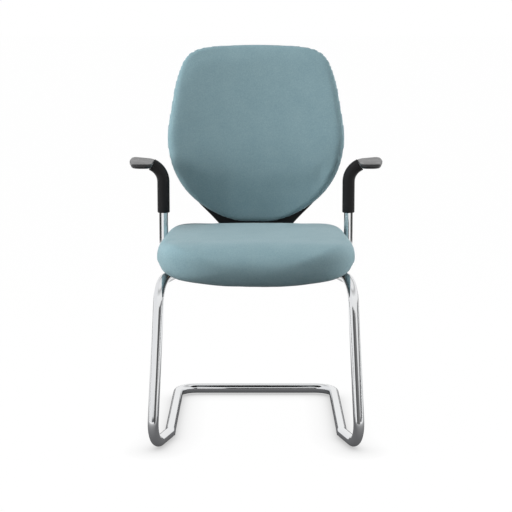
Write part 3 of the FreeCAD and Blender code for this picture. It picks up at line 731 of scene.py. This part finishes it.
@dataclass
class Armrest:
    """One armrest: its chrome upright, the plastic sleeve over it and the pad."""

    side: Side
    upright: Span = (0.2297, 0.094)
    upright_sides: int = 36
    rail_x: float = 0.147
    rail_z: float = 0.390
    tube_radius: float = 0.011
    low_bend: float = 0.034
    corner_z: float = 0.6125
    top_slant: float = 30.0
    top_bend: float = 0.046
    top_run: float = 0.0326
    sleeve_radius: float = 0.0153
    sleeve_bottom: float = 0.509
    sleeve_wall: float = 0.004
    sleeve_hollow: float = 0.012
    sleeve_lip: float = 0.0022
    sleeve_under_pad: float = 0.0008
    lip_steps: int = 5
    tube_smooth_angle: float = 50.0
    pad_top: float = 0.642
    pad_thickness: float = 0.012
    pad_inner: float = 0.0215
    pad_outline: tuple[Point, ...] = (
        (0.0, -0.040, 0.017),
        (0.047, -0.040, 0.021),
        (0.061, 0.070, 0.030),
        (0.061, 0.172, 0.030),
        (0.0, 0.114, 0.016),
    )
    pad_corner_steps: int = 10
    pad_edge: float = 0.0030
    pad_underside_roll: float = 0.0064
    pad_roll_steps: int = 6
    pad_crown: float = 0.0008
    pad_smooth_angle: float = 40.0
    same_height: float = 1e-6

    def build(self, shelf: FinishShelf) -> list[bpy.types.Object]:
        """Make the three pieces of the armrest.

        Args:
            shelf: the finishes.

        Returns:
            The upright, the sleeve and the pad.
        """
        made = [
            (self.make_upright(), Slot.CHROME, None, f"arm_tube_{self.side.word}"),
            (self.make_sleeve(), Slot.PLASTIC, None, f"arm_sleeve_{self.side.word}"),
            (self.make_pad(), Slot.PLASTIC, shelf.pad_skin, f"arm_pad_{self.side.word}"),
        ]
        for piece, slot, own, node in made:
            shelf.dress(piece, slot, own)
            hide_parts(node)
            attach(piece, Body.SEAT_UNIT.value)
        return [entry[0] for entry in made]

    def tip(self) -> Vector:
        """Find the end of the slanting run under the pad.

        Returns:
            The run's end.
        """
        slant = math.radians(self.top_slant)
        x, y = self.upright
        return Vector((x + math.cos(slant) * self.top_run, y, self.corner_z + math.sin(slant) * self.top_run))

    def finish(self, bm: bmesh.types.BMesh, name: str, smooth_angle: float) -> bpy.types.Object:
        """Put a right-hand mesh on this armrest's side and make it an object.

        Args:
            bm: the mesh.
            name: the piece's name without its side.
            smooth_angle: edges sharper than this many degrees stay sharp.

        Returns:
            The piece.
        """
        bmesh.ops.scale(bm, verts=bm.verts, vec=(self.side.value, 1.0, 1.0))
        return Workbench.finish(bm, f"{name}_{self.side.word}_visual", smooth_angle)

    def make_upright(self) -> bpy.types.Object:
        """Sweep the chrome upright from the seat rail to the sleeve's slanting end.

        Returns:
            The upright.
        """
        x, y = self.upright
        corners = [
            Vector((self.rail_x, y, self.rail_z)),
            Vector((x, y, self.rail_z)),
            Vector((x, y, self.corner_z)),
            self.tip(),
        ]
        bm = bmesh.new()
        bends = [self.low_bend, self.top_bend]
        BentTube(corners, bends, self.tube_radius, sides=self.upright_sides).sweep(bm)
        return self.finish(bm, "arm_upright", self.tube_smooth_angle)

    def make_sleeve(self) -> bpy.types.Object:
        """Sweep the sleeve, hollow its lower end, round its lip and trim it level with the pad.

        Returns:
            The sleeve.
        """
        x, y = self.upright
        corners = [Vector((x, y, self.sleeve_bottom)), Vector((x, y, self.corner_z)), self.tip()]
        bm = bmesh.new()
        low, _ = BentTube(corners, [self.top_bend], self.sleeve_radius).sweep(bm)
        rim = list(low.edges)
        bmesh.ops.inset_individual(bm, faces=[low], thickness=self.sleeve_wall, depth=0.0)
        deeper = bmesh.ops.extrude_face_region(bm, geom=[low])["geom"]
        bmesh.ops.delete(bm, geom=[low], context="FACES_ONLY")
        bmesh.ops.translate(bm, verts=Workbench.pick(deeper, Vert), vec=(0.0, 0.0, self.sleeve_hollow))
        lip = {"offset": self.sleeve_lip, "segments": self.lip_steps}
        bmesh.ops.bevel(bm, geom=rim, affect="EDGES", profile=0.5, material=-1, **lip)
        everything = [*bm.verts, *bm.edges, *bm.faces]
        level = Vector((0.0, 0.0, self.pad_top - self.sleeve_under_pad))
        cut = bmesh.ops.bisect_plane(
            bm, geom=everything, plane_co=level, plane_no=(0, 0, 1), clear_outer=True
        )
        edges = Workbench.pick(cut["geom_cut"], Edge)
        if edges:
            bmesh.ops.edgeloop_fill(bm, edges=edges)
        return self.finish(bm, "arm_sleeve", self.tube_smooth_angle)

    def make_pad(self) -> bpy.types.Object:
        """Draw the pad's outline, round its corners, thicken it and roll its edges.

        Returns:
            The pad.
        """
        start = self.upright[0] + self.pad_inner
        low = self.pad_top - self.pad_thickness
        bm = bmesh.new()
        verts = [bm.verts.new((start + across, along, low)) for across, along, _ in self.pad_outline]
        bm.faces.new(verts)
        for vert, (_, _, reach) in zip(verts, self.pad_outline):
            steps = self.pad_corner_steps
            bmesh.ops.bevel(
                bm, geom=[vert], offset=reach, segments=steps, affect="VERTICES", profile=0.5, material=-1
            )
        raised = bmesh.ops.extrude_face_region(bm, geom=list(bm.faces))["geom"]
        lift = self.pad_thickness - self.pad_crown
        bmesh.ops.translate(bm, verts=Workbench.pick(raised, Vert), vec=(0.0, 0.0, lift))
        for height, roll in ((low, self.pad_underside_roll), (low + lift, self.pad_edge)):
            level = {vert for vert in bm.verts if abs(vert.co.z - height) < self.same_height}
            rim = [edge for edge in bm.edges if level.issuperset(edge.verts)]
            steps = self.pad_roll_steps
            bmesh.ops.bevel(
                bm, geom=rim, offset=roll, segments=steps, affect="EDGES", profile=0.5, material=-1
            )
        top = max(bm.faces, key=lambda face: face.calc_center_median().z + face.calc_area())
        bmesh.ops.inset_region(bm, faces=[top], thickness=self.pad_edge, use_even_offset=True)
        bmesh.ops.translate(bm, verts=list(top.verts), vec=(0.0, 0.0, self.pad_crown))
        return self.finish(bm, "arm_pad", self.pad_smooth_angle)


@dataclass(frozen=True)
class Fullness:
    """A place where the padding is fuller than the foam block, the same on both sides."""

    place: Point
    reach: Point
    push: Point

    def at(self, point: Vector) -> Vector:
        """Find how far and which way the cloth stands out at a point.

        Args:
            point: the point.

        Returns:
            The move from the foam block's place.
        """
        across = abs(point.x) - self.place[0]
        gaps = (across, point.y - self.place[1], point.z - self.place[2])
        far = sum((gap / reach) ** 2 for gap, reach in zip(gaps, self.reach))
        outward = math.copysign(self.push[0], point.x)
        return Vector((outward, self.push[1], self.push[2])) * math.exp(-far)


@dataclass
class Cushion:
    """A padded piece: cloth drawn over its foam that swells a little, but not where it is held."""

    name: str
    source: str
    stands_for: tuple[str, ...]
    fill: float
    voxel: float = 0.005
    merge_reach: float = 1e-5
    pressure: float = 4.0
    most_swell: float = 0.003
    cloth_over_foam: float = 0.003
    frames: int = 20
    cloth_quality: int = 5
    smoothing: int = 4
    stand_off: float = 0.007
    softness: int = 4
    tightness: int = 8
    pinned_below: float = 0.5
    keeps_net_where_held: bool = False
    fuller: tuple[Fullness, ...] = ()

    def freedom(self, place: Vector, facing: Vector) -> float:
        """The share of a move that a point makes: 0 where the cloth is held, 1 where it rests on nothing."""
        raise NotImplementedError

    def build(self, shelf: FinishShelf) -> bpy.types.Object:
        """Make the cushion from its foam's outside.

        Args:
            shelf: the finishes.

        Returns:
            The cushion.
        """
        piece = self.remeshed()
        self.swell(piece)
        self.fill_out(piece)
        self.smooth(piece, 1)
        self.lay_cloth(piece)
        rounder = piece.modifiers.new("rounder", "SUBSURF")
        rounder.levels = 1
        rounder.render_levels = 1
        shelf.dress(piece, Slot.CLOTH)
        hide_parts(*self.stands_for)
        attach(piece, Body.SEAT_UNIT.value)
        return piece

    def remeshed(self) -> bpy.types.Object:
        """Copy the foam's mesh, lay an even net of faces over it and draw the net close to the foam.

        Returns:
            The net, as the cushion's object.
        """
        bm = bmesh.new()
        bm.from_mesh(frame["nodes"][self.source].data)
        bmesh.ops.remove_doubles(bm, verts=bm.verts, dist=self.merge_reach)
        foam = BVHTree.FromBMesh(bm)
        rough = Workbench.finish(bm, self.name + "_rough", None)
        net = rough.modifiers.new("net", "REMESH")
        net.mode = "VOXEL"
        net.voxel_size = self.voxel
        seen = rough.evaluated_get(bpy.context.evaluated_depsgraph_get())
        mesh = bpy.data.meshes.new_from_object(seen)
        mesh.name = self.name
        bpy.data.objects.remove(rough)
        piece = Workbench.place(self.name, mesh)
        self.smooth(piece, self.smoothing)
        self.hug(piece, foam)
        self.smooth(piece, self.softness)
        return piece

    def hug(self, piece: bpy.types.Object, foam: BVHTree) -> None:
        """Draw the net to the cloth's place over the foam, and level with the foam where it is held.

        Args:
            piece: the piece.
            foam: the foam's surface.
        """
        spread = [(vert, vert.co + vert.normal * self.stand_off) for vert in piece.data.vertices]
        for vert, place in spread:
            if self.keeps_net_where_held and self.freedom(vert.co, vert.normal) == 0.0:
                continue
            near = foam.find_nearest(place)[0]
            facing = (place - near).normalized()
            vert.co = near + facing * self.cloth_over_foam * self.freedom(near, facing)

    @staticmethod
    def smooth(piece: bpy.types.Object, times: int) -> None:
        """Even out a mesh's points and smooth its shading.

        Args:
            piece: the piece.
            times: how often each point moves towards its neighbours.
        """
        bm = bmesh.new()
        bm.from_mesh(piece.data)
        axes = {"use_axis_x": True, "use_axis_y": True, "use_axis_z": True}
        for _ in range(times):
            bmesh.ops.smooth_vert(bm, verts=bm.verts, factor=0.5, **axes)
        for face in bm.faces:
            face.smooth = True
        bm.to_mesh(piece.data)
        bm.free()

    @staticmethod
    def fade(value: float, held: float, free: float) -> float:
        """Rise smoothly from 0 at the held value to 1 at the free one."""
        share = min(1.0, max(0.0, (value - held) / (free - held)))
        return share * share * (3.0 - 2.0 * share)

    def fill_out(self, piece: bpy.types.Object) -> None:
        """Move points out where the padding is fuller.

        Args:
            piece: the piece.
        """
        shares = [self.freedom(vert.co, vert.normal) for vert in piece.data.vertices]
        for vert, share in zip(piece.data.vertices, shares):
            vert.co += sum((part.at(vert.co) for part in self.fuller), Vector()) * share

    def swell(self, piece: bpy.types.Object) -> None:
        """Blow the cushion up as cloth and keep each point near where it started.

        Args:
            piece: the piece.
        """
        scene = bpy.context.scene
        before = [vert.co.copy() for vert in piece.data.vertices]
        shares = [self.freedom(vert.co, vert.normal) for vert in piece.data.vertices]
        group = piece.vertex_groups.new(name="held")
        group.add([index for index, share in enumerate(shares) if share < self.pinned_below], 1.0, "REPLACE")
        cloth = piece.modifiers.new("cloth", "CLOTH")
        settings = cloth.settings
        settings.quality = self.cloth_quality
        settings.use_pressure = True
        settings.uniform_pressure_force = self.pressure
        settings.effector_weights.gravity = 0.0
        settings.vertex_group_mass = group.name
        cloth.point_cache.frame_start = 1
        cloth.point_cache.frame_end = self.frames
        for step in range(1, self.frames + 1):
            scene.frame_set(step)
        seen = piece.evaluated_get(bpy.context.evaluated_depsgraph_get())
        after = [vert.co.copy() for vert in seen.data.vertices]
        piece.modifiers.remove(cloth)
        piece.vertex_groups.clear()
        scene.frame_set(1)
        moves = []
        for old, new, share in zip(before, after, shares):
            move = new - old
            if move.length > self.most_swell:
                move = move.normalized() * self.most_swell
            moves.append(move * share)
        for vert, old, move in zip(piece.data.vertices, before, self.evened(piece, moves)):
            vert.co = old + move

    def evened(self, piece: bpy.types.Object, moves: list[Vector]) -> list[Vector]:
        """Average each point's move with its neighbours', as in cloth that is drawn tight.

        Args:
            piece: the piece.
            moves: each point's move.

        Returns:
            The evened moves.
        """
        for _ in range(self.tightness):
            totals = [move.copy() for move in moves]
            counts = [1] * len(moves)
            for edge in piece.data.edges:
                first, second = edge.vertices
                totals[first] += moves[second]
                totals[second] += moves[first]
                counts[first] += 1
                counts[second] += 1
            moves = [total / count for total, count in zip(totals, counts)]
        return moves

    @staticmethod
    def lay_cloth(piece: bpy.types.Object) -> None:
        """Lay the threads over the cushion, in metres, along the two main directions of each face.

        Args:
            piece: the piece.
        """
        bm = bmesh.new()
        bm.from_mesh(piece.data)
        layer = bm.loops.layers.uv.new("threads")
        for face in bm.faces:
            lean = [abs(value) for value in face.normal]
            main = lean.index(max(lean))
            first, second = [axis for axis in range(3) if axis != main]
            for loop in face.loops:
                loop[layer].uv = (loop.vert.co[first], loop.vert.co[second])
        bm.to_mesh(piece.data)
        bm.free()


@dataclass
class SeatCushion(Cushion):
    """The seat's cushion: the pan holds it from below, and its front hangs free before the pan."""

    name: str = "seat_cushion"
    source: str = "seat_foam"
    stands_for: tuple[str, ...] = ("seat_cover", "seat_foam")
    fill: float = 0.8
    keeps_net_where_held: bool = True
    pan_rim: Span = (0.409, 0.418)
    pan_front: Span = (-0.185, -0.205)
    facing_down: float = -0.5
    fuller: tuple[Fullness, ...] = (
        Fullness((0.175, -0.220, 0.397), (0.06, 0.06, 0.04), (0.002, -0.003, -0.010)),
        Fullness((0.100, -0.262, 0.384), (0.075, 0.05, 0.03), (0.000, 0.000, -0.0055)),
        Fullness((0.205, -0.060, 0.462), (0.04, 0.16, 0.03), (0.006, 0.000, 0.001)),
        Fullness((0.190, 0.100, 0.465), (0.04, 0.11, 0.03), (0.008, 0.000, 0.000)),
        Fullness((0.222, -0.130, 0.415), (0.04, 0.09, 0.03), (0.003, 0.000, -0.004)),
    )

    def freedom(self, place: Vector, facing: Vector) -> float:
        """Find how free a point is: 0 on the pan and 1 above its rim or ahead of its front.

        Args:
            place: where the point is.
            facing: the way that the cloth faces there.

        Returns:
            The share of a move that the point makes.
        """
        ahead = self.fade(place.y, *self.pan_front)
        if facing.z < self.facing_down:
            return ahead
        return max(self.fade(place.z, *self.pan_rim), ahead)


@dataclass
class BackCushion(Cushion):
    """The back's cushion: the panel holds its rear."""

    name: str = "back_cushion"
    source: str = "back_foam"
    stands_for: tuple[str, ...] = ("back_cover", "back_foam")
    fill: float = 0.75
    voxel: float = 0.0045
    cloth_over_foam: float = 0.0040
    softness: int = 1
    facing_panel: Span = (0.7, 0.25)
    fuller: tuple[Fullness, ...] = (
        Fullness((0.000, 0.175, 0.480), (0.11, 0.06, 0.03), (0.000, 0.000, -0.006)),
        Fullness((0.170, 0.225, 0.900), (0.045, 0.06, 0.04), (0.007, 0.000, 0.004)),
        Fullness((0.000, 0.235, 0.915), (0.075, 0.06, 0.04), (0.000, 0.000, 0.0035)),
    )

    def freedom(self, place: Vector, facing: Vector) -> float:
        """How free a point is: 0 where the cloth faces the panel and 1 where it faces away from it."""
        return self.fade(facing.y, *self.facing_panel)


@dataclass(frozen=True)
class Lamp:
    """One square lamp: its place, the point that it faces, its side in metres and its power in watts."""

    name: str
    place: Point
    aim: Point
    size: float
    power: float

    def hang(self) -> None:
        """Hang the lamp where the chrome doesn't show it."""
        data = bpy.data.lights.new(self.name, "AREA")
        data.size = self.size
        data.energy = self.power
        lamp = Workbench.place(self.name, data)
        lamp.location = self.place
        lamp.rotation_euler = (Vector(self.aim) - Vector(self.place)).to_track_quat("-Z", "Y").to_euler()
        lamp.visible_glossy = False


@dataclass
class Studio:
    """The camera, the pale floor, the lamps and what the chrome sees of the room."""

    lens: float = 113.98
    sensor: float = 36.0
    camera_place: Point = (0.0, -3.9095, 1.007)
    camera_tilt: float = 81.37
    floor_half: float = 60.0
    floor_z: float = -0.0004
    floor_bounce: Colour = (0.12, 0.12, 0.12)
    # painted contact shadow on the floor: how far and how finely occlusion is sought, and the glow from
    # darkest to white
    painted_shadow_reach: float = 0.07
    painted_shadow_samples: int = 16
    painted_shadow_glow: Span = (0.42, 1.045)
    shadow_share: float = 0.05
    # painted reflection: the grey that the chrome sees of the floor near the chair, turning white between the
    # near and far distance
    painted_floor_reflection: Colour = (0.16, 0.16, 0.165)
    painted_reflection_reach: Span = (0.38, 1.5)
    # a glowing card that only glossy rays see: painted dark reflections in the legs' chrome
    card_x: Span = (-0.10, 0.46)
    card_y: float = -0.70
    card_z: Span = (0.02, 0.39)
    card_thickness: float = 0.004
    card_reflection_greys: Span = (0.05, 0.26)
    # dark glowing strips that only glossy rays see: painted dark reflections in the arm uprights
    strip_reach: Span = (3.1, 5.2)
    strip_starts: tuple[tuple[str, float], ...] = (("left_strip", 118.0), ("right_strip", -30.0))
    strip_sweep: float = 92.0
    strip_steps: int = 24
    strip_z: float = 0.002
    strip_reflection_greys: Span = (0.05, 0.07)
    lamps: tuple[Lamp, ...] = (
        Lamp("key", (-2.0, -1.0, 2.9), (0.0, 0.0, 0.6), 1.2, 70.0),
        Lamp("left", (-2.5, -0.7, 0.9), (0.0, -0.1, 0.5), 1.2, 64.0),
        Lamp("right", (2.3, 0.5, 1.1), (0.0, -0.1, 0.5), 1.4, 58.0),
        Lamp("overhead", (-0.1, 0.05, 3.2), (0.0, 0.0, 0.4), 1.4, 25.0),
        Lamp("front", (0.8, -1.25, 0.52), (0.1, -0.2, 0.45), 0.6, 4.8),
    )
    room_tint: Colour = (0.97, 0.98, 1.0)
    room_light: float = 0.08
    # painted reflections: the room that only glossy rays see, dark below the horizon, banded above it and
    # paler to the left
    horizon: Colour = (0.05, 0.05, 0.055)
    painted_reflection_tones: tuple[tuple[float, Colour], ...] = (
        (0.05, (0.12, 0.12, 0.125)),
        (0.085, (0.95, 0.95, 0.95)),
        (0.5, (1.0, 1.0, 1.0)),
        (0.78, (0.55, 0.55, 0.55)),
        (0.9, (0.95, 0.95, 0.95)),
    )
    pale_left: Span = (-0.3, -0.6)
    pale_tone: Colour = (0.93, 0.93, 0.94)

    def build(self) -> None:
        """Set up the view, the floor, the lamps and the world."""
        bpy.context.scene.view_settings.view_transform = "Standard"
        self.make_camera()
        self.make_floor()
        self.make_front_card()
        self.make_strips()
        for lamp in self.lamps:
            lamp.hang()
        self.make_world()

    def make_camera(self) -> None:
        """Stand the camera where the photograph was taken from."""
        data = bpy.data.cameras.new("camera")
        data.lens = self.lens
        data.sensor_width = self.sensor
        camera = Workbench.place("camera", data)
        camera.location = self.camera_place
        camera.rotation_euler = (math.radians(self.camera_tilt), 0.0, 0.0)
        bpy.context.scene.camera = camera

    def make_floor(self) -> None:
        """Lay the floor: white to the eye with a painted contact shadow where the chair stands, and a painted
        grey reflection near it in the chrome.
        """
        bm = bmesh.new()
        bmesh.ops.create_grid(bm, x_segments=1, y_segments=1, size=self.floor_half)
        floor = Workbench.finish(bm, "floor", None)
        for vert in floor.data.vertices:
            vert.co.z = self.floor_z
        sheet = FinishSheet("floor_white")
        sheet.coat(Base_Color=(*self.floor_bounce, 1.0), Roughness=0.9, Specular_IOR_Level=0.1)
        # painted contact shadow: occlusion near the chair darkens the floor's white glow, whatever the lamps
        # do
        near = sheet.add("AmbientOcclusion", samples=self.painted_shadow_samples)
        near.inputs["Distance"].default_value = self.painted_shadow_reach
        painted_shadow = sheet.mapped(near.outputs["AO"], (0.0, 1.0), self.painted_shadow_glow)
        # painted reflection: glossy rays see the floor grey near the chair and white farther out, with the
        # painted contact shadow on it too
        far = sheet.add("VectorMath", operation="LENGTH")
        sheet.join(sheet.places(), far.inputs[0])
        spread = sheet.mapped(far.outputs["Value"], self.painted_reflection_reach)
        mirrored = sheet.glow(Color=sheet.tones(spread, self.painted_floor_reflection, WHITE), Strength=painted_shadow)
        lit = sheet.shader.outputs["BSDF"]
        seen = sheet.either(self.shadow_share, sheet.glow(Strength=painted_shadow), lit)
        sheet.show(sheet.by_ray(lit, mirrored, seen), "Material Output")
        floor.data.materials.append(sheet.material)

    def make_front_card(self) -> None:
        """Stand a glowing grey card before the legs that only the chrome sees, to paint dark reflected
        stripes into their chrome.
        """
        bm = bmesh.new()
        bmesh.ops.create_cube(bm, size=1.0)
        size = (self.card_x[1] - self.card_x[0], self.card_thickness, self.card_z[1] - self.card_z[0])
        bmesh.ops.scale(bm, verts=bm.verts, vec=size)
        middle = (sum(self.card_x) / 2, self.card_y, sum(self.card_z) / 2)
        bmesh.ops.translate(bm, verts=bm.verts, vec=middle)
        self.hide_from_eye(Workbench.finish(bm, "front_card", None), self.card_x, self.card_reflection_greys)

    def make_strips(self) -> None:
        """Lay a dark glowing strip far out on each side that only the chrome sees, to paint dark reflected
        stripes into the arm uprights.
        """
        span = (-self.strip_reach[1], self.strip_reach[1])
        for name, start in self.strip_starts:
            bm = bmesh.new()
            turned = Matrix.Rotation(math.radians(start), 3, "Z")
            ends = [bm.verts.new(turned @ Vector((reach, 0.0, self.strip_z))) for reach in self.strip_reach]
            sweep = math.radians(self.strip_sweep)
            up = Vector((0.0, 0.0, 1.0))
            Workbench.spin(bm, [bm.edges.new(ends)], Vector(), up, sweep, self.strip_steps)
            self.hide_from_eye(Workbench.finish(bm, name, None), span, self.strip_reflection_greys)

    @staticmethod
    def hide_from_eye(card: bpy.types.Object, span: Span, greys: Span) -> None:
        """Give a card its grey glow and let only the chrome see it, as a painted reflection.

        Args:
            card: the card.
            span: where its grey starts and ends, along X.
            greys: the grey at the start and at the end.
        """
        sheet = FinishSheet(card.name + "_grey")
        across = sheet.add("SeparateXYZ")
        sheet.join(sheet.places(), across.inputs["Vector"])
        left, right = [(grey, grey, grey) for grey in greys]
        tone = sheet.tones(sheet.mapped(across.outputs["X"], span), left, right)
        sheet.show(sheet.glow(Color=tone), "Material Output")
        card.data.materials.append(sheet.material)
        for ray in ("camera", "diffuse", "shadow", "transmission"):
            setattr(card, "visible_" + ray, False)

    def make_world(self) -> None:
        """Make the room: white to the eye, soft light on the chair, and painted reflections in the chrome: a
        dark horizon, grey and white bands, paler to the left.
        """
        world = bpy.data.worlds.new("room")
        bpy.context.scene.world = world
        world.use_nodes = True
        room = NodeSheet(world.node_tree)
        soft = room.tree.nodes["Background"]
        soft.inputs["Color"].default_value = (*self.room_tint, 1.0)
        soft.inputs["Strength"].default_value = self.room_light
        white = room.add("Background")
        white.inputs["Color"].default_value = (*WHITE, 1.0)
        ways = room.add("SeparateXYZ")
        room.join(room.add("TexCoord").outputs["Generated"], ways.inputs["Vector"])
        rise = room.add("ValToRGB")
        stops = rise.color_ramp.elements
        stops.remove(stops[1])
        stops[0].color = (*self.horizon, 1.0)
        for position, tone in self.painted_reflection_tones:
            stops.new(position).color = (*tone, 1.0)
        room.join(ways.outputs["Z"], rise.inputs["Fac"])
        # painted reflections: the banded room with its dark horizon, paler to the left, seen only by glossy
        # rays
        leftward = room.mapped(ways.outputs["X"], self.pale_left)
        mirror = room.add("Background")
        room.join(room.tones(leftward, rise.outputs["Color"], self.pale_tone), mirror.inputs["Color"])
        seen = [node.outputs["Background"] for node in (soft, mirror, white)]
        room.show(room.by_ray(*seen), "World Output")


def write_sizes() -> None:
    """Bring the view layer up to date."""
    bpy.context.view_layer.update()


def main() -> None:
    """Build and dress the chair piece by piece."""
    logging.basicConfig(level=logging.INFO, format="%(name)s: %(message)s")
    shelf = FinishShelf()
    shelf.dress_nodes()
    pieces = [FrameTube().build(shelf)]
    for side in Side:
        pieces += Armrest(side).build(shelf)
    pieces += [SeatCushion().build(shelf), BackCushion().build(shelf)]
    Studio().build()
    for piece in pieces:
        LOG.info("%s: %d faces", piece.name, len(piece.data.polygons))
    write_sizes()


if __name__ == "__main__":
    main()
